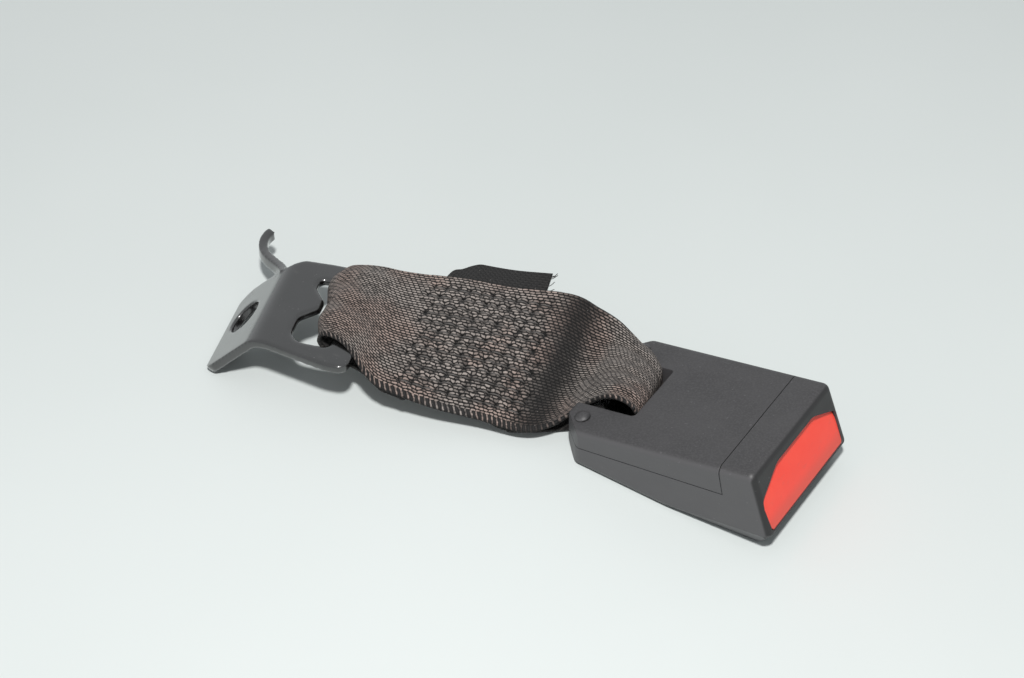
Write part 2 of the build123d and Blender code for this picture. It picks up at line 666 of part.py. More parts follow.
# ---------------------------------------------------------------- tongue way and ejector
def tongue_guide():
    """Guide over the tongue's way: two cheeks and a roof."""
    half = FRAME_HALF - STEEL - SEAT
    roof = TONGUE_TOP_Z + SEAT
    guide = twin(36, FRAME_FRONT_X, TONGUE_HALF, half, BASE_TOP_Z + SEAT, roof)
    return guide + block(49, FRAME_FRONT_X, -half, half, roof, roof + 1.1)


def ejector():
    """Slider that the tongue pushes back: a front wall and two legs beside the spring."""
    low, high = BASE_TOP_Z + 0.2, TONGUE_TOP_Z - 0.2
    rear = EJECTOR_FRONT_X - EJECTOR_LENGTH
    wall = EJECTOR_FRONT_X - 3
    slider = block(wall, EJECTOR_FRONT_X, -EJECTOR_HALF, EJECTOR_HALF, low, high)
    return slider + twin(rear, wall + 0.1, 4, EJECTOR_HALF, low, high)


def ejector_spring():
    """Spring between the channel's tab and the ejector."""
    rear = JOG_FRONT_X + 1.2
    place = Pos(rear, 0, (BASE_TOP_Z + TONGUE_TOP_Z) / 2) * Rot(0, 90, 0)
    return place * coil(EJECTOR_SPRING_R, EJECTOR_FRONT_X - 3 - rear, 6)


# ---------------------------------------------------------------- anchor plate
def anchor_flat(points, depth, rounds):
    """Flat outline in the plate's own plane, drawn through its thickness and beyond."""
    return Pos(0, 0, -depth) * extrude(rounded_face(points, rounds), 2 * depth)


def anchor_plate():
    """Bent stamping; its own origin is the middle of the webbing bar."""
    bend_x = -ANCHOR_BAR_X
    end_x = ANCHOR_LENGTH + bend_x
    half = ANCHOR_STEEL / 2
    turn = math.radians(ANCHOR_BEND_DEG)
    mitre = half * math.tan(turn / 2)
    along = Vector(-math.cos(turn), -math.sin(turn))
    normal = Vector(-math.sin(turn), math.cos(turn))
    tip = Vector(bend_x, 0) + along * ANCHOR_FLANGE
    high, low = tip + normal * half, tip - normal * half
    profile = [
        (high.X, high.Y),
        (bend_x - mitre, half),
        (end_x, half),
        (end_x, -half),
        (bend_x + mitre, -half),
        (low.X, low.Y),
    ]
    rounds = [(1, ANCHOR_BEND_R + ANCHOR_STEEL), (4, ANCHOR_BEND_R)]
    plate = side_prism(profile, -TALL, TALL, rounds)
    bend_half, end_half = ANCHOR_BEND_WIDTH / 2, ANCHOR_END_WIDTH / 2
    main = [
        (bend_x - 4, -bend_half),
        (bend_x + 4, -bend_half),
        (end_x - 8, -end_half),
        (end_x, -end_half),
        (end_x, end_half),
        (bend_x + 14, end_half),
        (bend_x + 4, end_half - 0.5),
        (bend_x - 1, bend_half),
        (bend_x - 4, bend_half),
    ]
    keep = anchor_flat(main, TALL, [(1, 12), (2, 8), (3, 8), (4, 9), (6, 4), (7, 2)])
    keep &= block(bend_x - 0.5, TALL, -TALL, TALL, -TALL, TALL)
    flange = [
        (-ANCHOR_FLANGE - 1, -bend_half),
        (6, -bend_half),
        (6, bend_half),
        (-ANCHOR_FLANGE - 1, bend_half),
    ]
    tilt = Location((bend_x, 0, 0), (0, -ANCHOR_BEND_DEG, 0))
    leaf = anchor_flat(flange, 12, [(0, 5), (3, 9)])
    keep_flange = (tilt * leaf) & block(-TALL * 2, bend_x + 0.5, -TALL, TALL, -TALL, TALL)
    plate &= keep + keep_flange
    hole = Pos(-ANCHOR_HOLE_FROM_BEND, ANCHOR_HOLE_Y, 0) * Cylinder(ANCHOR_HOLE_R, 20)
    plate -= tilt * hole
    plate -= web_slot()
    reach = -ANCHOR_BAR / 2 - ANCHOR_SLOT_LENGTH - 0.1, -ANCHOR_BAR / 2 + 0.1
    rims = []
    for edge in plate.edges():
        box = edge.bounding_box()
        flat_face = abs(abs(edge.center().Z) - half) < 0.01
        if flat_face and reach[0] < box.min.X and box.max.X < reach[1] and box.max.Y < end_half - 1:
            if box.min.Y > -ANCHOR_SLOT_HALF - 0.1:
                rims.append(edge)
    return fillet(rims, SLOT_EDGE_R) + locating_hook()


def web_slot():
    """Kidney-shaped slot with a tab standing into it towards the bar."""
    front = -ANCHOR_BAR / 2
    rear = front - ANCHOR_SLOT_LENGTH
    tip = rear + ANCHOR_BUMP
    points = [
        (front, -ANCHOR_SLOT_HALF),
        (front, ANCHOR_SLOT_HALF),
        (rear + 1, ANCHOR_SLOT_HALF),
        (rear + 1, ANCHOR_BUMP_Y + 7.5),
        (tip, ANCHOR_BUMP_Y + 2.2),
        (tip, ANCHOR_BUMP_Y - 2.2),
        (rear, ANCHOR_BUMP_Y - 7.5),
        (rear, -ANCHOR_SLOT_HALF),
    ]
    rounds = [(0, 2), (1, 2), (2, 4), (3, 2.5), (4, 2), (5, 2), (6, 4), (7, 5.5)]
    return anchor_flat(points, 10, rounds)


def locating_hook():
    """Strip that leaves the far edge at the bend and curls outward."""
    bend_x = -ANCHOR_BAR_X
    edge = ANCHOR_BEND_WIDTH / 2
    path = Spline(
        (bend_x - 1.5, edge - 2.0, -1.8),
        (bend_x - 4.0, edge + 1.5, -3.2),
        (bend_x - 8.5, edge + 5.5, -4.6),
        (bend_x - 14.0, edge + 11.0, -5.8),
        (bend_x - 15.8, edge + 15.5, -6.0),
        (bend_x - 14.8, edge + 21.5, -5.8),
    )
    start = Plane(origin=path @ 0, x_dir=(0, 0, 1), z_dir=path % 0)
    return sweep(start * Rectangle(HOOK_WIDTH, ANCHOR_STEEL), path=path)


# ---------------------------------------------------------------- webbing
def webbing_eye(width, sign):
    """Loop of webbing round a bar at the origin; the plies meet on the +X or -X side."""
    outer_r = EYE_R + WEB_PLY
    outer = Circle(outer_r) + Pos(-EYE_SLACK, 0) * Circle(outer_r)
    outer += Pos(EYE_LENGTH, 0) * Rectangle(2, 2 * WEB_PLY)
    inner = Circle(EYE_R) + Pos(-EYE_SLACK, 0) * Circle(EYE_R)
    inner += Pos(EYE_LENGTH - 2.5, 0) * Circle(0.3)
    face = make_hull(outer.edges()) - make_hull(inner.edges())
    eye = extrude(Plane.XZ * face, width / 2, both=True)
    return eye if sign > 0 else eye.rotate(Axis.Z, 180)


def strap_section(x, y, z, width, thick, tilt, yaw):
    """Cross-section of the flat part of the loop."""
    place = Location((x, y, z), (0, 0, yaw)) * Location((0, 0, 0), (tilt, 0, 0))
    return place * (Plane.YZ * Rectangle(width, thick))


def webbing():
    """Closed loop: an eye round each bar and the gathered, sewn middle."""
    eye_a = ANCHOR_PLACE * webbing_eye(WEB_GATHERED_ANCHOR, 1)
    eye_b = Pos(BAR_CENTRE_X, 0, BAR_CENTRE_Z) * webbing_eye(WEB_GATHERED_BUCKLE, -1)
    start = ANCHOR_PLACE.position
    flat = 2 * WEB_PLY
    sections = []
    stations = [
        (EYE_LENGTH - 1.5, 0.0, WEB_GATHERED_ANCHOR - 0.4, flat - 0.2, 0),
        (30, -1.0, WEB_WIDTH - 3, flat + 0.6, 14),
        (48, -3.0, WEB_WIDTH, flat + WEB_PLY, 22),
        (61, -6.0, WEB_WIDTH - 4, flat + 0.6, 14),
    ]
    for along, rise, width, thick, tilt in stations:
        x = start.X + along * math.cos(YAW)
        y = start.Y + along * math.sin(YAW)
        sections.append(strap_section(x, y, start.Z + rise, width, thick, tilt, ANCHOR_YAW))
    end_x = BAR_CENTRE_X - EYE_LENGTH + 1.5
    end_width = WEB_GATHERED_BUCKLE - 0.4
    sections.append(strap_section(end_x, 0, BAR_CENTRE_Z, end_width, flat - 0.2, 0, 0))
    return eye_a + loft(sections, ruled=True) + eye_b


# ---------------------------------------------------------------- assembly
def build():
    """Every piece by name, in the modelling frame."""
    shell = housing_shell()
    return {
        "anchor_plate": ANCHOR_PLACE * anchor_plate(),
        "webbing": webbing(),
        "lower_housing": lower_housing(shell),
        "upper_cover": upper_cover(shell),
        "buckle_frame": buckle_frame(),
        "web_bar_sleeve": web_bar_sleeve(),
        "rear_cover_pins": rear_cover_pins(),
        "tongue_guide": tongue_guide(),
        "spring_carrier": spring_carrier(),
        "latch_plate": latch_plate(),
        "latch_pivot_pin": latch_pivot_pin(),
        "pivot_retaining_rings": pivot_retaining_rings(),
        "latch_spring": latch_spring(),
        "release_button": release_button(),
        "release_slider": release_slider(),
        "inertia_lever": inertia_lever(),
        "inertia_pivot_pin": inertia_pivot_pin(),
        "button_spring_left": button_spring(1),
        "button_spring_right": button_spring(-1),
        "ejector": ejector(),
        "ejector_spring": ejector_spring(),
    }


def row_shift(pieces):
    """Move that puts the row origin under the middle of everything."""
    box = Compound([piece for piece in pieces.values()]).bounding_box()
    return Vector(-box.center().X, -box.center().Y, -box.min.Z)


pieces = build()
shift = row_shift(pieces)
print("row origin shift", shift)
os.makedirs("parts", exist_ok=True)
for name, piece in pieces.items():
    export_step(Location(shift) * piece, f"parts/{name}.step")
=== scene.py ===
"""Looks for the seat belt buckle, its sewn webbing loop and its anchor plate."""
import math
import random

import bpy
import numpy as np
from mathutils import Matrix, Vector


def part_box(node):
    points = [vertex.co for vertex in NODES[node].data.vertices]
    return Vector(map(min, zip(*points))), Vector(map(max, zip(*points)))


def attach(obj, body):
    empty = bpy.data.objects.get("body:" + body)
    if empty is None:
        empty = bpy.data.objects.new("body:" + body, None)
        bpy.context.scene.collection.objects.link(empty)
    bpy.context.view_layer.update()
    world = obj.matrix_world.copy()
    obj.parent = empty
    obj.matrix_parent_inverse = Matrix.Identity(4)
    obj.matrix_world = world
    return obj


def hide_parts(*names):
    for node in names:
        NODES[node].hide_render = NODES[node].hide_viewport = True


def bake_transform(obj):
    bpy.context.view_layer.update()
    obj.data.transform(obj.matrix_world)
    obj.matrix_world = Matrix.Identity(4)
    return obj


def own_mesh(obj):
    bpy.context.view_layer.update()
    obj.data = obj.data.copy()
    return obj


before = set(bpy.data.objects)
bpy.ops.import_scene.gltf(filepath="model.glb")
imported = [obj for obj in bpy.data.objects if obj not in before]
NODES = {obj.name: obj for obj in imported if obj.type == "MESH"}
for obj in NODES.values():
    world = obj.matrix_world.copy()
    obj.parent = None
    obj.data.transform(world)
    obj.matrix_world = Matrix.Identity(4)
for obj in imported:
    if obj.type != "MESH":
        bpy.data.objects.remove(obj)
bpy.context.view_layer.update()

# ------------------------------------------------------------------ places
# Points below are written in the buckle's own millimetres: x = 0 near its rear, y = 0 on its
# middle plane, z = 0 on the floor. ORIGIN carries them to the row frame.
HOUSING_REAR_X = -9.0
_low, _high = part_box("lower_housing")
ORIGIN = np.array([_low[0] - HOUSING_REAR_X / 1000, (_low[1] + _high[1]) / 2, 0.0])
YAW = math.radians(18.4)            # angle of the loop to the buckle, seen from above
SPAN = 86.1                         # between the bars
BAR_A_HEIGHT, BAR_B_HEIGHT = 19.1, 6.7
# Middles of the buckle's bar and of the anchor's.
BAR_B = np.array([-4.9, 0.0, BAR_B_HEIGHT])
BAR_A = np.array([BAR_B[0] - SPAN * math.cos(YAW), -SPAN * math.sin(YAW), BAR_A_HEIGHT])
# Directions along the loop, across it and up.
ALONG = np.array([math.cos(YAW), math.sin(YAW), 0.0])
ACROSS = np.array([-math.sin(YAW), math.cos(YAW), 0.0])
UP = np.array([0.0, 0.0, 1.0])


def row(points):
    """Buckle millimetres to the row frame in metres."""
    return np.asarray(points, float) / 1000 + ORIGIN


def strap(s, a, z):
    """Point s mm from the anchor's bar along the loop, a mm across, z mm above the floor."""
    return BAR_A * (1, 1, 0) + ALONG * s + ACROSS * a + UP * z


def buckle(x, y, z):
    """Point in the buckle's own millimetres."""
    return np.array([x, y, z])


def along_mm(points):
    """How far points lie from the anchor's bar along the loop."""
    return (points - BAR_A) @ ALONG


def ease(x):
    """0 below 0, 1 above 1, smooth between them."""
    x = np.clip(x, 0, 1)
    return x * x * (3 - 2 * x)


def hump(x):
    """1 at 0, falling to 0 within about 2 on each side."""
    return np.exp(-x ** 2)


def put_in_scene(name, points, faces, material):
    """Smooth-shaded object from points in buckle mm."""
    mesh = bpy.data.meshes.new(name)
    mesh.from_pydata([tuple(p) for p in row(points)], [], faces)
    mesh.materials.append(material)
    mesh.polygons.foreach_set("use_smooth", [True] * len(mesh.polygons))
    mesh.update()
    thing = bpy.data.objects.new(name, mesh)
    bpy.context.scene.collection.objects.link(thing)
    return thing


def ring_faces(start, rows, size):
    """Faces of a closed skin of rows of size points each, whose first point has the number start."""
    faces = []
    for k in range(start, start + (rows - 1) * size, size):
        for j in range(size):
            after = (j + 1) % size
            faces.append((k + j, k + after, k + size + after, k + size + j))
    faces.append(tuple(range(start, start + size))[::-1])
    faces.append(tuple(range(start + (rows - 1) * size, start + rows * size)))
    return faces


def shade(colour, share):
    """The colour, darker or lighter by a share."""
    return tuple(c * share for c in colour)


# ------------------------------------------------------------------ material nodes
MIX_COLOUR_A, MIX_COLOUR_B, MIX_RESULT = 6, 7, 2    # a Mix node's sockets for colours


class Nodes:
    """Small helper that writes a material's node tree."""

    def __init__(self, name):
        self.material = bpy.data.materials.new(name)
        self.material.use_nodes = True
        self.tree = self.material.node_tree
        self.tree.nodes.clear()
        self.output = self.add("ShaderNodeOutputMaterial")
        self.bsdf = self.add("ShaderNodeBsdfPrincipled")
        self.link(self.bsdf.outputs[0], self.output.inputs["Surface"])

    def add(self, kind, **settings):
        """New node with some of its settings."""
        node = self.tree.nodes.new(kind)
        for key, value in settings.items():
            setattr(node, key, value)
        return node

    def link(self, a, b):
        self.tree.links.new(a, b)

    def feed(self, socket, value):
        """Give an input a constant or another node's output."""
        if isinstance(value, bpy.types.NodeSocket):
            self.link(value, socket)
        else:
            socket.default_value = value

    def math(self, kind, a, b=0.0, c=0.0, clamp=False):
        node = self.add("ShaderNodeMath", operation=kind, use_clamp=clamp)
        for socket, value in zip(node.inputs, (a, b, c)):
            self.feed(socket, value)
        return node.outputs[0]

    def times(self, a, b, clamp=False):
        return self.math("MULTIPLY", a, b, clamp=clamp)

    def plus(self, a, b, clamp=False):
        return self.math("ADD", a, b, clamp=clamp)

    def minus(self, a, b, clamp=False):
        return self.math("SUBTRACT", a, b, clamp=clamp)

    def scaled(self, value, size, start):
        """start + size x value."""
        return self.plus(self.times(value, size), start)

    def mix(self, factor, a, b):
        """a where factor is 0 and b where it is 1."""
        node = self.add("ShaderNodeMix", data_type="RGBA")
        self.feed(node.inputs["Factor"], factor)
        for number, value in ((MIX_COLOUR_A, a), (MIX_COLOUR_B, b)):
            self.feed(node.inputs[number], (*value, 1) if isinstance(value, tuple) else value)
        return node.outputs[MIX_RESULT]

    def ramp(self, value, low, high):
        """0 below low, 1 above high, smooth between them."""
        node = self.add("ShaderNodeMapRange", interpolation_type="SMOOTHSTEP")
        self.feed(node.inputs["Value"], value)
        node.inputs["From Min"].default_value = low
        node.inputs["From Max"].default_value = high
        return node.outputs[0]

    def coords(self):
        return self.add("ShaderNodeTexCoord").outputs["Object"]

    def stretched(self, scale):
        """Object coordinates with another scale along each axis."""
        node = self.add("ShaderNodeMapping")
        self.link(self.coords(), node.inputs["Vector"])
        node.inputs["Scale"].default_value = scale
        return node.outputs[0]

    def noise(self, scale, detail=2.0, vector=None, rough=0.5):
        node = self.add("ShaderNodeTexNoise")
        self.link(vector or self.coords(), node.inputs["Vector"])
        node.inputs["Scale"].default_value = scale
        node.inputs["Detail"].default_value = detail
        node.inputs["Roughness"].default_value = rough
        return node.outputs["Fac"]

    def bump(self, height, strength, distance, normal=None):
        """Normal from a height; distance is in metres."""
        node = self.add("ShaderNodeBump")
        self.link(height, node.inputs["Height"])
        node.inputs["Strength"].default_value = strength
        node.inputs["Distance"].default_value = distance
        if normal is not None:
            self.link(normal, node.inputs["Normal"])
        return node.outputs[0]

    def soft_edge(self, radius):
        """Normal that rounds sharp edges, radius in metres."""
        node = self.add("ShaderNodeBevel", samples=6)
        node.inputs["Radius"].default_value = radius
        return node.outputs[0]

    def split(self, vector):
        """Outputs X, Y and Z of a vector."""
        node = self.add("ShaderNodeSeparateXYZ")
        self.link(vector, node.inputs[0])
        return node.outputs

    def attribute(self, name):
        return self.add("ShaderNodeAttribute", attribute_name=name).outputs["Fac"]

    def set(self, **values):
        """Shader inputs by name, with _ for a space: a value or a socket."""
        for name, value in values.items():
            socket = self.bsdf.inputs[name.replace("_", " ")]
            if isinstance(value, tuple) and socket.type == "RGBA":
                value = (*value, 1)
            self.feed(socket, value)


def moulded_plastic(name, colour, worn, rough=0.5, grain=0.35, front=1.0, side=1.0):
    """Moulded plastic with a fine grain, faint mottling, a few scuffs and dust.

    front and side scale the colour of faces looking forward and sideways against the top: painted shade
    on the front, painted sheen on the sides.
    """
    m = Nodes(name)
    mottled = m.ramp(m.noise(70, 3), 0.3, 0.75)
    grainy = m.ramp(m.noise(1500, 2), 0.35, 0.75)
    scuff = m.ramp(m.noise(1, 4, m.stretched((40, 900, 120)), 0.65), 0.68, 0.76)
    dust = m.ramp(m.noise(900, 0), 0.80, 0.83)
    base = m.mix(mottled, shade(colour, 0.92), shade(colour, 1.16))
    base = m.mix(grainy, base, shade(colour, 1.4))
    # painted light: faces looking sideways and forward get a lighter or darker colour from their
    # direction alone
    if (front, side) != (1.0, 1.0):
        faces = m.split(m.add("ShaderNodeTexCoord").outputs["Normal"])
        painted_side_sheen = m.ramp(m.math("ABSOLUTE", faces["Y"]), 0.45, 0.85)
        painted_front_shade = m.ramp(faces["X"], 0.30, 0.62)
        base = m.mix(painted_side_sheen, base, shade(colour, side))
        base = m.mix(painted_front_shade, base, shade(colour, front))
    base = m.mix(m.times(scuff, 0.20), base, worn)
    base = m.mix(m.times(dust, 0.22), base, worn)
    height = m.plus(m.noise(2600, 1), m.times(m.noise(900, 2), 0.6))
    m.set(
        Base_Color=base,
        Roughness=m.scaled(m.noise(160, 3), 0.22, rough - 0.11),
        Normal=m.bump(height, grain, 0.00008, m.soft_edge(0.0005)),
        IOR=1.5,
    )
    return m.material


BUTTON_FULL_RED_Z, BUTTON_DULLEST_Z = 0.0150, 0.0105    # m, full red above the one and dullest below the other


def red_button_plastic():
    """Smooth red plastic, a little duller and darker towards its lower edge."""
    m = Nodes("red_button_plastic")
    low = m.ramp(m.times(m.split(m.coords())["Z"], -1.0), -BUTTON_FULL_RED_Z, -BUTTON_DULLEST_Z)
    cloud = m.noise(90, 3)
    smudge = m.ramp(m.noise(1, 4, m.stretched((60, 260, 500)), 0.6), 0.55, 0.72)
    base = m.mix(m.ramp(cloud, 0.3, 0.7), (0.97, 0.062, 0.036), (1.0, 0.078, 0.046))
    # duller, darker red towards the lower edge
    base = m.mix(m.times(low, 0.55), base, (0.62, 0.085, 0.060))
    base = m.mix(m.times(smudge, 0.16), base, (0.55, 0.12, 0.10))
    m.set(
        Base_Color=base,
        Roughness=m.scaled(cloud, 0.18, 0.30),
        Normal=m.bump(m.noise(1500, 2), 0.12, 0.00006, m.soft_edge(0.0006)),
        Subsurface_Weight=0.05,
        Subsurface_Radius=(0.002, 0.0006, 0.0004),
    )
    return m.material


def dip_coat():
    """Glossy black dip coat on steel: slight orange peel, thin spots and rubs."""
    m = Nodes("dip_coat_black")
    cloud = m.noise(55, 3)
    rub = m.ramp(m.noise(1, 5, m.stretched((90, 420, 160)), 0.62), 0.64, 0.72)
    speck = m.ramp(m.noise(1300, 0), 0.79, 0.82)
    base = m.mix(m.ramp(cloud, 0.35, 0.7), (0.004, 0.004, 0.004), (0.010, 0.0095, 0.010))
    base = m.mix(m.times(rub, 0.25), base, (0.09, 0.088, 0.085))
    base = m.mix(m.times(speck, 0.4), base, (0.12, 0.12, 0.12))
    peel = m.plus(m.noise(420, 2), m.times(m.noise(1500, 1), 0.3))
    m.set(
        Base_Color=base,
        Roughness=m.scaled(m.noise(120, 3), 0.16, 0.17),
        Normal=m.bump(peel, 0.22, 0.00010, m.soft_edge(0.0007)),
        Coat_Weight=1.0,
        Coat_Roughness=0.10,
        Coat_IOR=1.62,
        IOR=1.55,
    )
    return m.material


def plated_steel(name, colour, rough, lines):
    """Steel with fine drawing or grinding lines and a cloudy finish."""
    m = Nodes(name)
    grain = m.noise(1, 2, m.stretched(lines))
    m.set(
        Base_Color=m.mix(m.noise(120, 3), shade(colour, 0.82), colour),
        Roughness=m.scaled(grain, 0.2, rough),
        Normal=m.bump(grain, 0.10, 0.00005, m.soft_edge(0.0003)),
        Metallic=1.0,
    )
    return m.material


FLOAT_LENGTH = 1.7     # mm, one float of a warp yarn
YARN_PITCH = 0.95      # mm between warp yarns
YARN_SLANT = 0.37      # how far each yarn's floats lie behind its neighbour's, share of a float
SELVEDGE_PITCH = 1.9   # mm between the slanting strands of the selvedge
SELVEDGE_FROM, SELVEDGE_TO = 2.12, 2.20   # cm from the middle, where the weave gives way to the near one
YARN_SHAKE, SEWN_SHAKE = 0.03, 0.06       # cm of unevenness, everywhere and added where it is sewn


def weave(m, sewn):
    """Height of the woven surface, 0 to 1, and a tint for each float, from the UV map in cm."""
    uv = m.split(m.add("ShaderNodeTexCoord").outputs["UV"])
    shake = m.scaled(sewn, SEWN_SHAKE, YARN_SHAKE)
    shift_u = m.times(m.minus(m.noise(520, 2), 0.5), shake)
    shift_v = m.times(m.minus(m.noise(430, 2, m.stretched((1, 1, 1.3))), 0.5), shake)
    u_mm = m.times(m.plus(uv["X"], shift_u), 10)
    v_mm = m.times(m.plus(uv["Y"], shift_v), 10)
    # place in the yarn: side runs from -0.5 to 0.5 across it, phase from 0 to 1 along one float
    yarn = m.times(v_mm, 1 / YARN_PITCH)
    column = m.math("FLOOR", yarn)
    side = m.minus(m.math("FRACT", yarn), 0.5)
    floats = m.plus(m.times(u_mm, 1 / FLOAT_LENGTH), m.times(column, YARN_SLANT))
    phase = m.math("FRACT", floats)
    float_top = m.math("POWER", m.math("SINE", m.times(phase, math.pi)), 0.4)
    round_yarn = m.minus(1.0, m.math("POWER", m.times(m.math("ABSOLUTE", side), 2.0), 1.7))
    height = m.times(float_top, round_yarn, clamp=True)
    slanting = m.times(m.plus(u_mm, m.times(v_mm, 0.5)), 2 * math.pi / SELVEDGE_PITCH)
    strand = m.scaled(m.math("SINE", slanting), 0.5, 0.5)
    selvedge = m.ramp(m.times(uv["Y"], -1.0), SELVEDGE_FROM, SELVEDGE_TO)
    height = m.plus(
        m.times(height, m.minus(1.0, selvedge)), m.times(strand, m.times(selvedge, 0.62)), clamp=True
    )
    # a number between 0 and 1 that looks random from float to float
    number = m.plus(m.times(m.math("FLOOR", floats), 12.99), m.times(column, 78.23))
    tint = m.math("FRACT", m.times(m.math("SINE", number), 437.5))
    return height, tint


def woven(name, dark, light):
    """Belt webbing: dark warp yarns with painted highlights on their floats, and painted shade in the
    stitch holes.
    """
    m = Nodes(name)
    hole = m.attribute("dent")
    height, tint = weave(m, m.attribute("sewn"))
    # painted highlights: the float tops take the light colour, as if the light caught them
    lit = m.ramp(m.times(height, m.scaled(m.noise(1300, 1), 0.9, 0.55)), 0.36, 0.78)
    lit = m.times(lit, m.scaled(tint, 0.95, 0.50))
    lit = m.times(lit, m.scaled(m.noise(110, 3), 0.8, 0.55))
    # painted shade: the floats lose most of their painted highlight in the valley before the buckle
    lit = m.times(lit, m.scaled(m.attribute("painted_valley_light"), 0.92, 0.08))
    # painted shade in the stitch holes: the floats there lose their painted highlight
    lit = m.times(lit, m.minus(1.0, m.times(hole, 1.6), clamp=True), clamp=True)
    reddish = (light[0] * 1.04, light[1] * 0.90, light[2] * 0.86)
    warm = m.mix(m.ramp(m.noise(45, 2), 0.45, 0.62), light, reddish)
    base = m.mix(lit, dark, warm)
    # painted shade: the stitch holes turn near black
    base = m.mix(m.ramp(hole, 0.22, 0.7), base, (0.003, 0.003, 0.003))
    lint = m.ramp(m.noise(1700, 0), 0.82, 0.84)
    base = m.mix(m.times(lint, 0.35), base, (0.35, 0.33, 0.31))
    m.set(
        Base_Color=base,
        Roughness=0.66,
        Sheen_Weight=0.06,
        Sheen_Roughness=0.45,
        Specular_IOR_Level=0.28,
        Normal=m.bump(height, 1.0, 0.00036),
    )
    return m.material


def thread(name, colour):
    """Twisted sewing thread."""
    m = Nodes(name)
    twist = m.noise(1, 2, m.stretched((2600, 900, 1500)))
    m.set(
        Base_Color=m.mix(twist, shade(colour, 0.45), colour),
        Roughness=0.55,
        Sheen_Weight=0.2,
        Normal=m.bump(twist, 0.6, 0.00012),
    )
    return m.material


def floor_paint():
    """Pale grey-blue table top with faint mottling and a few hairline marks."""
    m = Nodes("pale_floor")
    hair = m.ramp(m.noise(1, 3, m.stretched((9, 160, 1)), 0.5), 0.775, 0.80)
    mottled = m.ramp(m.noise(3.2, 4), 0.25, 0.75)
    base = m.mix(mottled, (0.700, 0.750, 0.742), (0.742, 0.790, 0.782))
    base = m.mix(m.times(hair, 0.10), base, (0.55, 0.62, 0.62))
    m.set(Base_Color=base, Roughness=0.62)
    return m.material


BLACK = (0.044, 0.043, 0.045)
DUSTY_GREY = (0.20, 0.20, 0.21)
MATERIALS = {
    # painted shade on the housing's front faces and painted sheen on its sides
    "lower_housing": moulded_plastic("housing_black", BLACK, DUSTY_GREY, front=0.35, side=2.0),
    "release_button": red_button_plastic(),
    "anchor_plate": dip_coat(),
    "buckle_frame": plated_steel("zinc_plate", (0.62, 0.61, 0.58), 0.28, (400, 3000, 900)),
    "web_bar_sleeve": plated_steel("ground_steel", (0.66, 0.66, 0.66), 0.16, (3000, 60, 3000)),
    "latch_spring": plated_steel("spring_wire", (0.40, 0.40, 0.42), 0.26, (2500, 2500, 2500)),
    "tongue_guide": moulded_plastic(
        "acetal_natural", (0.52, 0.51, 0.46), (0.4, 0.4, 0.38), rough=0.38, grain=0.12
    ),
}
# The other nodes, each with the one whose material it shares.
SHARED = {
    "upper_cover": "lower_housing",
    "rear_cover_pins": "lower_housing",
    "latch_plate": "buckle_frame",
    "latch_pivot_pin": "web_bar_sleeve",
    "pivot_retaining_rings": "web_bar_sleeve",
    "button_spring_left": "latch_spring",
    "button_spring_right": "latch_spring",
    "ejector_spring": "latch_spring",
    "spring_carrier": "tongue_guide",
    "release_slider": "tongue_guide",
    "ejector": "tongue_guide",
    "inertia_lever": "buckle_frame",
    "inertia_pivot_pin": "web_bar_sleeve",
    "webbing": "lower_housing",
}
for name, node in NODES.items():
    paint = MATERIALS[SHARED.get(name, name)]
    if not node.data.materials:
        node.data.materials.append(paint)
    for n in range(len(node.data.materials)):
        node.data.materials[n] = paint

# The stamping's edges are rolled over, which its tessellated solid doesn't show.
even = NODES["anchor_plate"].modifiers.new("even", "REMESH")
even.mode = "VOXEL"
even.voxel_size = 0.0004
even.use_smooth_shade = True
rolled = NODES["anchor_plate"].modifiers.new("rolled", "SMOOTH")
rolled.factor = 0.5
rolled.iterations = 14

# ------------------------------------------------------------------ webbing
PLY = 1.25             # mm, thickness of one layer
WIDTH = 47.0
STEP_U = 0.45          # mm between rows of the mesh
COLUMNS = 108
FINE_STEPS = 60        # steps per row of the tables below when lengths are measured
# Top layer from the anchor's slot over its bar, along the loop, over the buckle's bar and down
# through its slot: near edge, far edge, and how far the middle stands above their midpoint.
TOP = [
    (strap(-10.2, -10.5, 18.6), strap(-12.0, 13.0, 20.0), 0.0),
    (strap(-9.0, -11.0, 21.8), strap(-11.5, 14.8, 25.0), 0.6),
    (strap(-5.0, -11.8, 23.0), strap(-7.5, 17.0, 28.2), 1.2),
    (strap(0.0, -13.7, 22.6), strap(-2.0, 18.0, 28.8), 1.4),
    (strap(4.6, -16.6, 20.8), strap(4.0, 18.6, 28.4), 1.0),
    (strap(10.0, -20.4, 16.8), strap(10.0, 19.4, 27.0), 0.6),
    (strap(16.0, -22.4, 14.2), strap(16.5, 20.6, 26.0), 0.6),
    (strap(32.0, -22.3, 10.0), strap(32.0, 22.7, 25.4), 1.4),
    (strap(48.0, -20.8, 6.9), strap(48.0, 22.8, 25.4), 1.8),
    (buckle(-20.7, -26.9, 4.9), buckle(-30.5, 17.4, 25.6), 0.2),
    (buckle(-13.6, -21.4, 6.6), buckle(-19.6, 17.4, 25.0), -2.8),
    (buckle(-9.8, -14.6, 9.6), buckle(-12.3, 17.6, 23.2), -2.9),
    (buckle(-5.6, -10.4, 14.4), buckle(-6.6, 16.6, 21.4), -0.9),
    (buckle(-1.0, -9.6, 18.4), buckle(-1.9, 15.6, 20.0), 0.0),
    (buckle(4.2, -9.4, 20.4), buckle(1.9, 14.6, 19.6), 0.4),
    (buckle(9.2, -9.2, 19.8), buckle(5.2, 13.0, 18.8), 0.5),
    (buckle(12.2, -9.2, 17.0), buckle(7.7, 11.9, 16.2), 0.2),
    (buckle(12.0, -9.4, 12.0), buckle(8.3, 11.4, 11.8), 0.0),
]
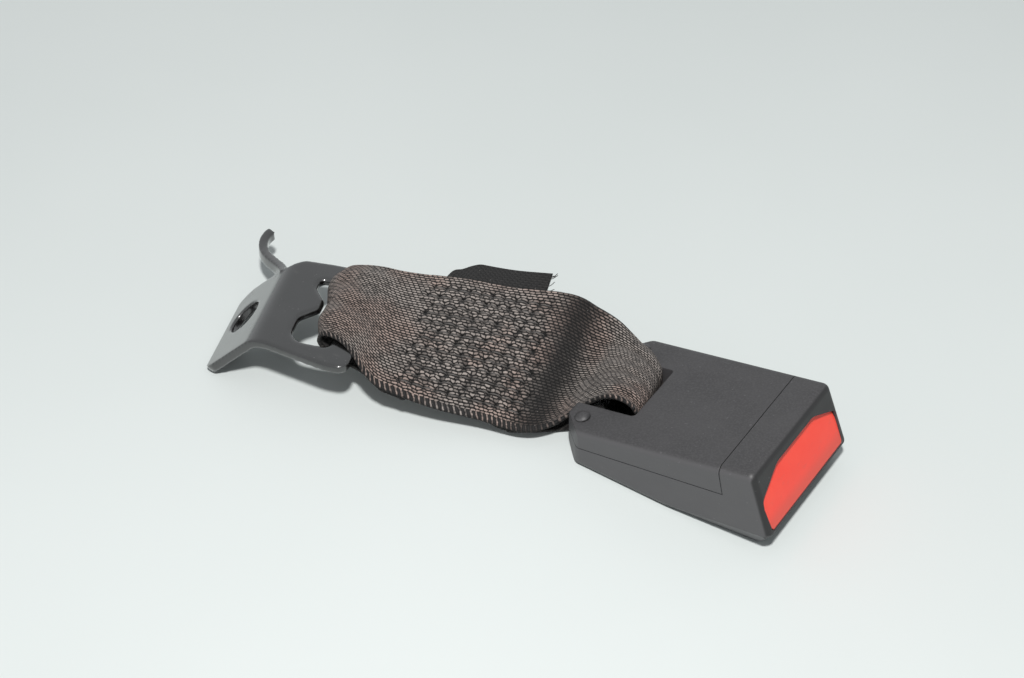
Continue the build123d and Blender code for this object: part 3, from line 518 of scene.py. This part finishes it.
# On down through the buckle's slot, under its bar and back towards the loop.
UNDER_B = [
    (buckle(9.4, -9.8, 7.0), buckle(9.2, 11.2, 7.0), 0.0),
    (buckle(5.6, -10.4, 3.0), buckle(5.6, 11.2, 3.0), 0.0),
    (buckle(0.0, -11.0, 1.2), buckle(0.0, 11.4, 1.2), 0.0),
    (buckle(-6.0, -11.4, 0.95), buckle(-6.0, 11.6, 0.95), 0.0),
    (buckle(-11.5, -15.6, 1.2), buckle(-11.8, 14.0, 5.0), 0.0),
    (buckle(-17.0, -21.0, 1.9), buckle(-18.0, 16.6, 12.5), -1.0),
]
# From the middle layer's end of the loop under the anchor's bar and up to the first row of TOP.
UNDER_A = [
    (strap(9.0, -18.0, 14.0), strap(9.0, 17.5, 20.4), -0.8),
    (strap(4.0, -14.6, 12.6), strap(4.0, 14.6, 15.2), -0.6),
    (strap(-1.0, -12.6, 12.2), strap(-1.0, 13.4, 12.8), -0.4),
    (strap(-6.0, -11.2, 13.2), strap(-6.4, 12.8, 13.2), -0.2),
    (strap(-9.4, -10.6, 16.0), strap(-10.2, 12.4, 16.0), 0.0),
]


def smooth_rows(rows, count):
    """Catmull-Rom curve through the rows' near edges, middles and far edges."""
    data = np.array([[near, (near + far) / 2 + UP * rise, far] for near, far, rise in rows])
    t = np.linspace(0, len(rows) - 1, count)
    k = np.minimum(t.astype(int), len(rows) - 2)
    f = (t - k)[:, None, None]
    a = data[np.maximum(k - 1, 0)]
    b, c = data[k], data[k + 1]
    d = data[np.minimum(k + 2, len(rows) - 1)]
    second, third = 2 * a - 5 * b + 4 * c - d, 3 * b - a - 3 * c + d
    return 0.5 * (2 * b + (c - a) * f + second * f**2 + third * f**3)


def measured(rows):
    """The curve in fine steps and the length of its middle line up to each."""
    fine = smooth_rows(rows, FINE_STEPS * len(rows))
    steps = np.linalg.norm(np.diff(fine[:, 1], axis=0), axis=1)
    return fine, np.concatenate([[0], np.cumsum(steps)])


def even_rows(rows):
    """The same curve with rows STEP_U apart."""
    fine, length = measured(rows)
    spots = np.arange(0, length[-1], STEP_U)
    flat = fine.reshape(len(fine), 9)
    even = np.column_stack([np.interp(spots, length, flat[:, n]) for n in range(9)])
    return even.reshape(-1, 3, 3), spots


def surface(even):
    """Places across from -1 to 1, a grid of points across each row and the unit normals there."""
    v = np.linspace(-1, 1, COLUMNS + 1)
    near, mid, far = even[:, 0, None], even[:, 1, None], even[:, 2, None]
    w = v[None, :, None]
    grid = near * w * (w - 1) / 2 + mid * (1 - w * w) + far * w * (w + 1) / 2
    return v, grid, normals(grid)


def normals(grid):
    """Unit normals of a grid of points."""
    du = np.gradient(grid, axis=0)
    dv = np.gradient(grid, axis=1)
    n = np.cross(du, dv)
    return n / np.maximum(np.linalg.norm(n, axis=2, keepdims=True), 1e-9)


SELVEDGE_BULGE = 0.8   # how far the rounded edge stands out, share of half the thickness
SELVEDGE_UV = 0.5      # mm added across at that edge in the UV map


def strip_mesh(name, grid, n, spots, marks, material):
    """Closed strip: upper face, lower face and rounded selvedges, with a UV map in centimetres."""
    rows, cols = grid.shape[:2]
    half = PLY / 2
    width_dir = grid[:, -1] - grid[:, 0]
    width_dir /= np.linalg.norm(width_dir, axis=1, keepdims=True)
    upper = grid + n * half
    lower = (grid - n * half)[:, ::-1]
    far = (grid[:, -1] + width_dir * half * SELVEDGE_BULGE)[:, None]
    near = (grid[:, 0] - width_dir * half * SELVEDGE_BULGE)[:, None]
    ring = np.concatenate([upper, far, lower, near], axis=1)
    size = ring.shape[1]
    thing = put_in_scene(name, ring.reshape(-1, 3), ring_faces(0, rows, size), material)
    mesh = thing.data
    across = np.linspace(-WIDTH / 2, WIDTH / 2, cols)
    edge = WIDTH / 2 + SELVEDGE_UV
    v_ring = np.concatenate([across, [edge], across[::-1], [-edge]])
    flat_uv = np.stack([np.repeat(spots, size), np.tile(v_ring, rows)], axis=1) / 10
    loops = np.zeros(len(mesh.loops), np.int32)
    mesh.loops.foreach_get("vertex_index", loops)
    uv = mesh.uv_layers.new(name="UVMap")
    uv.data.foreach_set("uv", flat_uv[loops].astype(np.float32).ravel())
    for mark, upper_values in marks.items():
        values = np.concatenate([upper_values, np.zeros((rows, cols + 2))], axis=1)
        attribute = mesh.attributes.new(mark, "FLOAT", "POINT")
        attribute.data.foreach_set("value", values.ravel().astype(np.float32))
    return thing


# The stitched block: holes in rows along the loop.
STITCH_FROM, STITCH_TO = 20.5, 62.0   # mm along the loop from the anchor's bar
STITCH_LENGTH = 3.95
STITCH_ROW = 3.35
STITCH_ROWS = 12
STITCH_SHIFT = 0.31    # how far each row lies behind the last, share of a stitch
STITCH_STRAY = 0.30    # mm that a hole can lie off its place
STITCH_SLACK = 0.5     # mm past the block's ends at which a hole still counts
HOLE_WIDENING = 1 / 0.85    # how much wider a hole is across the cloth than along it
FAR_AWAY = 99.0        # mm, stands for places outside the block


def stitch_places(s, v_mm):
    """Distance in mm to the nearest stitch hole, inside the block; FAR_AWAY outside."""
    middle = (STITCH_ROWS - 1) / 2
    number = np.clip(np.round(v_mm / STITCH_ROW + middle), 0, STITCH_ROWS - 1)
    v0 = (number - middle) * STITCH_ROW
    shift = (number * STITCH_SHIFT % 1) * STITCH_LENGTH
    k = np.round((s - STITCH_FROM - shift) / STITCH_LENGTH)
    s0 = STITCH_FROM + shift + k * STITCH_LENGTH
    stray = np.sin(k * 12.7 + number * 5.3) * STITCH_STRAY
    tightness = 1.12 + 0.22 * np.sin(k * 3.1 + number * 7.7)
    away = np.hypot(s - s0 - stray, (v_mm - v0 - stray) / HOLE_WIDENING) * tightness
    inside = (s0 > STITCH_FROM - STITCH_SLACK) & (s0 < STITCH_TO + STITCH_SLACK)
    return np.where(inside, away, FAR_AWAY)


WAVES = 5


def wave(u, v, seed, scale):
    """Soft unevenness, about -1 to 1."""
    rng = random.Random(seed)
    total = 0
    for _ in range(WAVES):
        a, b, c = rng.uniform(-1, 1), rng.uniform(-1, 1), rng.uniform(0, 6.28)
        total = total + np.sin(scale * (a * u + b * v) + c)
    return total / 3


def tubes(name, paths, radius, material, sides=6):
    """One mesh of thin round threads along the given paths, in mm."""
    points, faces = [], []
    not_along = [0.13, 0.21, 0.97]      # a direction that no thread runs in
    turn = np.linspace(0, 2 * math.pi, sides, endpoint=False)[:, None]
    for path in paths:
        path = np.asarray(path)
        along = np.gradient(path, axis=0)
        along /= np.linalg.norm(along, axis=1, keepdims=True)
        first = np.cross(along, not_along)
        first /= np.linalg.norm(first, axis=1, keepdims=True)
        second = np.cross(along, first)
        faces += ring_faces(len(points), len(path), sides)
        for point, a, b in zip(path, first, second):
            points += list(point + radius * (np.cos(turn) * a + np.sin(turn) * b))
    return put_in_scene(name, points, faces, material)


MIDDLE_END = 57.5      # mm along the loop from the anchor's bar, where the middle layer is cut
BOTTOM_END = 18.8      # the same for the bottom layer
MIDDLE_BEND, BOTTOM_BEND = 16.0, 61.0    # where each of them turns round a bar
MIDDLE_DROP, BOTTOM_DROP = -1.6, -3.1    # mm from the top layer to each
LAYER_STEP, LAYER_LEAST = 2.5, 4         # mm between their rows, and the fewest rows
TOP_LOWEST = 12        # mm, TOP's rows below this turn under a bar and are not followed


def lower_layer(top, top_n, s_from, s_to, drop, far_shift):
    """Rows of a lower layer: the top layer's rows dropped and pushed to the far side."""
    along = along_mm(top[:, 1])
    turned = top[:, 1, 2] < TOP_LOWEST
    picks = []
    count = max(LAYER_LEAST, int(abs(s_to - s_from) / LAYER_STEP) + 1)
    for s in np.linspace(s_from, s_to, count):
        i = int(np.argmin(np.where(turned, np.inf, abs(along - s))))
        near, mid, far = top[i]
        push = far_shift(s) * (far - near) / np.linalg.norm(far - near)
        down = drop * top_n[i]
        rise = (mid - (near + far) / 2)[2]
        picks.append((near + down[0] + push, far + down[-1] + push, rise))
    return picks


def middle_shift(s):
    """mm that the middle layer stands out on the far side."""
    return 3.6 * ease((s - 24.0) / 2.0) + 3.7 * ease((s - 26) / 9)


def bottom_shift(s):
    """The same for the bottom layer."""
    return 1.4 - 1.2 * ease((s - 48) / 8)


def webbing_path():
    """Rows of the whole length, and the number of the first one of TOP.

    Middle layer, round the anchor's bar, top layer, round the buckle's bar, bottom layer.
    """
    top, _ = even_rows(TOP)
    _, _, top_n = surface(top)
    middle = lower_layer(top, top_n, MIDDLE_END, MIDDLE_BEND, MIDDLE_DROP, middle_shift)
    bottom = lower_layer(top, top_n, BOTTOM_BEND, BOTTOM_END, BOTTOM_DROP, bottom_shift)
    return middle + UNDER_A + TOP + UNDER_B + bottom, len(middle) + len(UNDER_A)


# Places along the path are counted in rows of TOP, those across it run from -1 to 1.
BLOCK_ROWS = 3, 12             # the stitched block lies between these rows
TAB_ROW, TAB_ROWS = 0.1, 1.5   # where the anchor's tab presses, and over how many rows
TAB_PLACE, TAB_SPREAD = 0.06, 0.15
TAB_PUSH = 3.6 * ALONG - 0.9 * UP      # mm
GATHER_A_ROW, GATHER_A_ROWS = 1.5, 2.6      # gathers at the anchor's bar
GATHER_B_FROM, GATHER_B_TO = 9.5, 17.2      # gathers at the buckle's bar
GATHER_B_GROWS, GATHER_B_ENDS = 3, 1.5      # over how many rows they grow and end
DENT_RADIUS, DENT_DEPTH = 1.05, 0.85        # mm, at a stitch hole
PUFF_RADIUS, PUFF_HEIGHT = 1.6, 0.22        # mm, of the cloth between holes
SEWN_BESIDE = 0.11723  # how much the weave beside the block is pulled about, share of that in it
UNEVEN, UNEVEN_SCALE, UNEVEN_SEED = 0.16, 0.28, 5    # soft unevenness: mm, waves, random seed
FLOOR_GAP = 0.15       # mm left under the cloth
VALLEY_AT, VALLEY_SLANT, VALLEY_WIDTH = 69, 0.16, 7.5   # mm, the valley before the buckle, where shade is painted on the floats


# Ripples across the cloth at each bar: height in mm, waves and start.
RIPPLE_A = 0.42, 11, 0.7
RIPPLE_B, SMALL_RIPPLE_B = (0.22, 9.5, -0.9), (0.26, 17, 0.4)
ROLL_A, FAR_ROLL_A, ROLL_B = 1.6, 1.3, 1.5      # mm that the cloth's edges roll down there
NEAR_ROLL_FROM, FAR_ROLL_FROM = -0.66, 0.72


def ripple(v, height, waves, start):
    return height * np.sin(v * waves + start)


def folds(v, near_a, near_b):
    """Height in mm of the gathers near both bars, less the edges that roll down there."""
    near_edge = ease((NEAR_ROLL_FROM - v) / (1 + NEAR_ROLL_FROM))
    far_edge = ease((v - FAR_ROLL_FROM) / (1 - FAR_ROLL_FROM))
    at_a = ripple(v, *RIPPLE_A) - ROLL_A * near_edge - FAR_ROLL_A * far_edge
    at_b = ripple(v, *RIPPLE_B) + ripple(v, *SMALL_RIPPLE_B) - ROLL_B * near_edge
    return near_a * at_a + near_b * at_b


def build_webbing():
    """The whole length of webbing as one path, with its folds, notch and stitch holes.

    Gives the grid, its normals, the marks for the material, which rows belong to the block's top
    layer, how far each point lies along the loop, and the length of the cloth up to each row.
    """
    path, first_top = webbing_path()
    even, spots = even_rows(path)
    v, grid, n = surface(even)
    fine, length = measured(path)
    top_t = np.interp(spots, length, np.linspace(0, len(path) - 1, len(fine))) - first_top
    on_top = (top_t > BLOCK_ROWS[0]) & (top_t < BLOCK_ROWS[1])
    s = along_mm(grid)
    v_mm = np.broadcast_to(v * WIDTH / 2, s.shape)
    u_mm = np.broadcast_to(spots[:, None], s.shape)
    # the anchor's tab presses a notch into the loop
    notch = hump((top_t - TAB_ROW) / TAB_ROWS)[:, None] * hump((v - TAB_PLACE) / TAB_SPREAD)
    grid = grid + notch[:, :, None] * TAB_PUSH
    near_a = hump((top_t - GATHER_A_ROW) / GATHER_A_ROWS)[:, None]
    grows = ease((top_t - GATHER_B_FROM) / GATHER_B_GROWS)
    ends = ease((GATHER_B_TO - top_t) / GATHER_B_ENDS)
    near_b = (grows * ends)[:, None]
    raised = folds(v, near_a, near_b) + UNEVEN * wave(u_mm, v_mm, UNEVEN_SEED, UNEVEN_SCALE)
    grid = grid + n * raised[:, :, None]
    # stitch holes and the puffed cloth between them
    away = stitch_places(s, v_mm)
    block = on_top[:, None]
    inside = away < FAR_AWAY
    sewn = np.where(inside, 1.0, SEWN_BESIDE) * block
    dent = hump(away / DENT_RADIUS) * block
    puff = inside * (1 - hump(away / PUFF_RADIUS)) * block
    grid = grid + n * (PUFF_HEIGHT * puff - DENT_DEPTH * dent)[:, :, None]
    grid[:, :, 2] = np.maximum(grid[:, :, 2], PLY / 2 + FLOOR_GAP)
    # painted shade in the valley before the buckle: there the floats lose their painted highlight, which
    # the raised parts keep
    valley = hump((s - VALLEY_AT - VALLEY_SLANT * v_mm) / VALLEY_WIDTH)
    valley = valley * (top_t < BLOCK_ROWS[1] + 1)[:, None]
    painted_valley_light = np.clip(1 - 1.05 * valley, 0, 1)
    return grid, normals(grid), {"dent": dent, "sewn": sewn, "painted_valley_light": painted_valley_light}, on_top, s, spots


CUT_ANCHOR, CUT_BUCKLE = 18.5, 63.0   # mm along the loop, where one piece ends and the next begins
SHORTEST_PIECE = 4                    # rows
BODIES = "anchor", "webbing", "buckle"


def cut_webbing(grid, n, marks, s, spots):
    """Pieces of the path that ride on the anchor, the loop and the buckle: body, piece, length in m."""
    # the second colour is the painted highlight on the floats
    cloth = woven("belt_webbing", (0.0080, 0.0074, 0.0074), (0.345, 0.307, 0.282))
    # painted shade: a greyer copy of the webbing with weaker float highlights, for the middle layer,
    # whose cut edge stands out at the far side
    shaded = woven("belt_webbing_painted_shade", (0.016, 0.016, 0.016), (0.090, 0.090, 0.088))
    s_mid = s[:, COLUMNS // 2]
    kind = np.where(s_mid < CUT_ANCHOR, 0, np.where(s_mid > CUT_BUCKLE, 2, 1))
    borders = np.flatnonzero(np.diff(kind)) + 1
    made = []
    count = dict.fromkeys(BODIES, 0)
    for start, end in zip([0, *borders], [*borders, len(kind)]):
        stop, body = min(end + 1, len(kind)), BODIES[kind[start]]
        count[body] += 1
        if stop - start >= SHORTEST_PIECE:
            piece = strip_mesh(
                f"webbing_{body}_{count[body]}", grid[start:stop], n[start:stop], spots[start:stop],
                {mark: values[start:stop] for mark, values in marks.items()},
                shaded if start == 0 else cloth,
            )
            made.append((body, piece, (stop - start) * STEP_U / 1000))
    return made


web_grid, web_n, web_marks, web_on_top, web_s, web_spots = build_webbing()
for body, piece, length in cut_webbing(web_grid, web_n, web_marks, web_s, web_spots):
    if body == "anchor":
        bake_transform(piece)
    elif body == "buckle":
        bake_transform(piece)
    else:
        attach(piece, "webbing")
    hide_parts("webbing")


def on_cloth(s0, v0, lift):
    """Point lift mm above the top layer, s0 mm along the loop and v0 mm across it."""
    rows = np.flatnonzero(web_on_top)
    column = (v0 / WIDTH + 0.5) * COLUMNS
    j = int(column)
    i = np.interp(s0, web_s[rows, j], rows)
    k, f, g = int(i), i - int(i), column - j
    corners = (
        (k, j, (1 - f) * (1 - g)), (k + 1, j, f * (1 - g)),
        (k, j + 1, (1 - f) * g), (k + 1, j + 1, f * g),
    )
    point = sum(share * web_grid[a, b] for a, b, share in corners)
    return point + web_n[k, j] * (PLY / 2 + lift)


THREAD_RADIUS = 0.24   # mm
ARC_LIFT, ARC_SUNK = 0.34, 0.30     # mm: a thread's rise between holes, and its depth in them
ARC_LEAN = 0.25        # mm that it can bend aside
ARC_STEPS = 9


def stitch_arcs():
    """Threads from hole to hole on the top layer, one short arc for each stitch."""
    rng = random.Random(11)
    paths = []
    for number in range(STITCH_ROWS):
        v0 = (number - (STITCH_ROWS - 1) / 2) * STITCH_ROW
        s0 = STITCH_FROM + (number * STITCH_SHIFT % 1) * STITCH_LENGTH
        while s0 + STITCH_LENGTH < STITCH_TO:
            lean = rng.uniform(-ARC_LEAN, ARC_LEAN)
            path = []
            for t in np.linspace(0, 1, ARC_STEPS):
                arch = math.sin(math.pi * t)
                lift = ARC_LIFT * arch ** 0.6 - ARC_SUNK
                path.append(on_cloth(s0 + STITCH_LENGTH * t, v0 + lean * arch, lift))
            paths.append(path)
            s0 += STITCH_LENGTH
    return paths


stitching = tubes(
    "stitching", stitch_arcs(), THREAD_RADIUS, thread("sewing_thread", (0.105, 0.096, 0.090))
)
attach(stitching, "webbing")

FRAY_COUNT = 34
FRAY_RADIUS = 0.13             # mm
FRAY_FROM, FRAY_TO = 0.72, 0.995    # across the cloth, share of its width from the near edge


def frayed_ends():
    """Loose yarn ends at the cut edge of the middle layer, where it stands out at the far side."""
    rng = random.Random(4)
    paths = []
    for _ in range(FRAY_COUNT):
        j = int(rng.uniform(FRAY_FROM, FRAY_TO) * COLUMNS)
        out = web_grid[0, j] - web_grid[1, j]
        out /= np.linalg.norm(out)
        lean = ACROSS * rng.uniform(-0.5, 0.9) + UP * rng.uniform(-0.2, 0.9)
        reach = rng.uniform(0.6, 2.8)
        start = web_grid[1, j] + web_n[1, j] * rng.uniform(-0.45, 0.45)
        steps = np.linspace(0, 1, 5)
        paths.append([start + out * reach * t + lean * reach * 0.7 * t * t for t in steps])
    return paths


fray = tubes(
    "frayed_ends", frayed_ends(), FRAY_RADIUS, thread("loose_yarn", (0.06, 0.058, 0.056)), sides=5
)
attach(fray, "webbing")

# ------------------------------------------------------------------ springs
X_AXIS, Z_AXIS = 0, 2
LOW_END, HIGH_END = 0, 1
TURN_STEPS = 26        # points of the path in one turn
CLOSED_TURN = 0.9      # turns at each end that lie flat, and their rise in wire thicknesses
WIRE_SIDES = 8


def wire_spring(node, axis, turns, wire, fixed_end):
    """Round-wire spring with closed ends in place of a node's plain coil.

    wire is its thickness in mm.
    """
    low, high = (np.array(corner) * 1000 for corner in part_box(node))
    length = high[axis] - low[axis]
    b, c = (k for k in range(3) if k != axis)
    middle = (low + high) / 2 - ORIGIN * 1000
    reach = (high[b] - low[b] - wire) / 2
    steps = np.linspace(0, 1, TURN_STEPS * turns + 1)
    closed, flat = CLOSED_TURN / turns, CLOSED_TURN * wire / (length - wire)
    rise = np.interp(steps, [0, closed, 1 - closed, 1], [0, flat, 1 - flat, 1]) - 0.5
    path = np.zeros((len(steps), 3))
    path[:, axis] = middle[axis] + rise * (length - wire)
    path[:, b] = middle[b] + reach * np.cos(2 * math.pi * turns * steps)
    path[:, c] = middle[c] + reach * np.sin(2 * math.pi * turns * steps)
    spring = tubes(node + "_wire", [path], wire / 2, MATERIALS["latch_spring"], WIRE_SIDES)
    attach(spring, "buckle")
    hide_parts(node)
    anchor = list((low + high) / 2000)
    anchor[axis] = (low, high)[fixed_end][axis] / 1000
    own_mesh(spring)


wire_spring("button_spring_left", X_AXIS, 9, 0.6, LOW_END)
wire_spring("button_spring_right", X_AXIS, 9, 0.6, LOW_END)
wire_spring("ejector_spring", X_AXIS, 11, 0.5, LOW_END)
wire_spring("latch_spring", Z_AXIS, 4, 0.5, HIGH_END)

# ------------------------------------------------------------------ floor, light, camera
FLOOR_SIZE = 6.0               # m
KEY_SIZE, KEY_POWER = 0.10, 9.9     # m, W
KEY_COLOUR = (1.0, 0.985, 0.97)
KEY_PLACE, KEY_TARGET = (215.6, -389.6, 963.2), (-10, 0, 8)     # buckle mm
WORLD_COLOUR = (0.95, 0.98, 1.0, 1)
WORLD_LEVEL = 0.29             # strength of the surroundings
WORLD_IN_GLOSS = 0.45          # how much stronger they are in reflections
CAMERA_PLACE, CAMERA_TARGET = (253.9, -442.2, 527.0), (-50.1, 11.2, 0)     # buckle mm
PICTURE_WIDTH, FOCAL_LENGTH = 1024, 2229      # pixels
SENSOR_WIDTH = 36.0            # mm

scene = bpy.context.scene
bpy.ops.mesh.primitive_plane_add(size=FLOOR_SIZE, location=(0, 0, 0))
floor = bpy.context.object
floor.name = "floor"
floor.data.materials.append(floor_paint())


def aim(thing, place, target):
    """Put a lamp or camera in the scene at a place and turn it to a target, in buckle mm."""
    scene.collection.objects.link(thing)
    thing.location = row(place)
    thing.rotation_euler = (Vector(row(target)) - thing.location).to_track_quat("-Z", "Y").to_euler()


key = bpy.data.objects.new("key", bpy.data.lights.new("key", "AREA"))
key.data.shape = "DISK"
key.data.size = KEY_SIZE
key.data.energy = KEY_POWER
key.data.color = KEY_COLOUR
aim(key, KEY_PLACE, KEY_TARGET)

world = scene.world or bpy.data.worlds.new("world")
scene.world = world
world.use_nodes = True
tree = world.node_tree
tree.nodes.clear()
out = tree.nodes.new("ShaderNodeOutputWorld")
back = tree.nodes.new("ShaderNodeBackground")
light_path = tree.nodes.new("ShaderNodeLightPath")
strength = tree.nodes.new("ShaderNodeMath")
strength.operation = "MULTIPLY_ADD"
tree.links.new(light_path.outputs["Is Glossy Ray"], strength.inputs[0])
strength.inputs[1].default_value = WORLD_IN_GLOSS
strength.inputs[2].default_value = WORLD_LEVEL
back.inputs["Color"].default_value = WORLD_COLOUR
tree.links.new(strength.outputs[0], back.inputs["Strength"])
tree.links.new(back.outputs[0], out.inputs["Surface"])

camera = bpy.data.objects.new("camera", bpy.data.cameras.new("camera"))
camera.data.sensor_width = SENSOR_WIDTH
camera.data.lens = FOCAL_LENGTH / PICTURE_WIDTH * SENSOR_WIDTH
camera.data.clip_start = 0.05
camera.data.clip_end = 20
aim(camera, CAMERA_PLACE, CAMERA_TARGET)
scene.camera = camera
scene.view_settings.view_transform = "Standard"
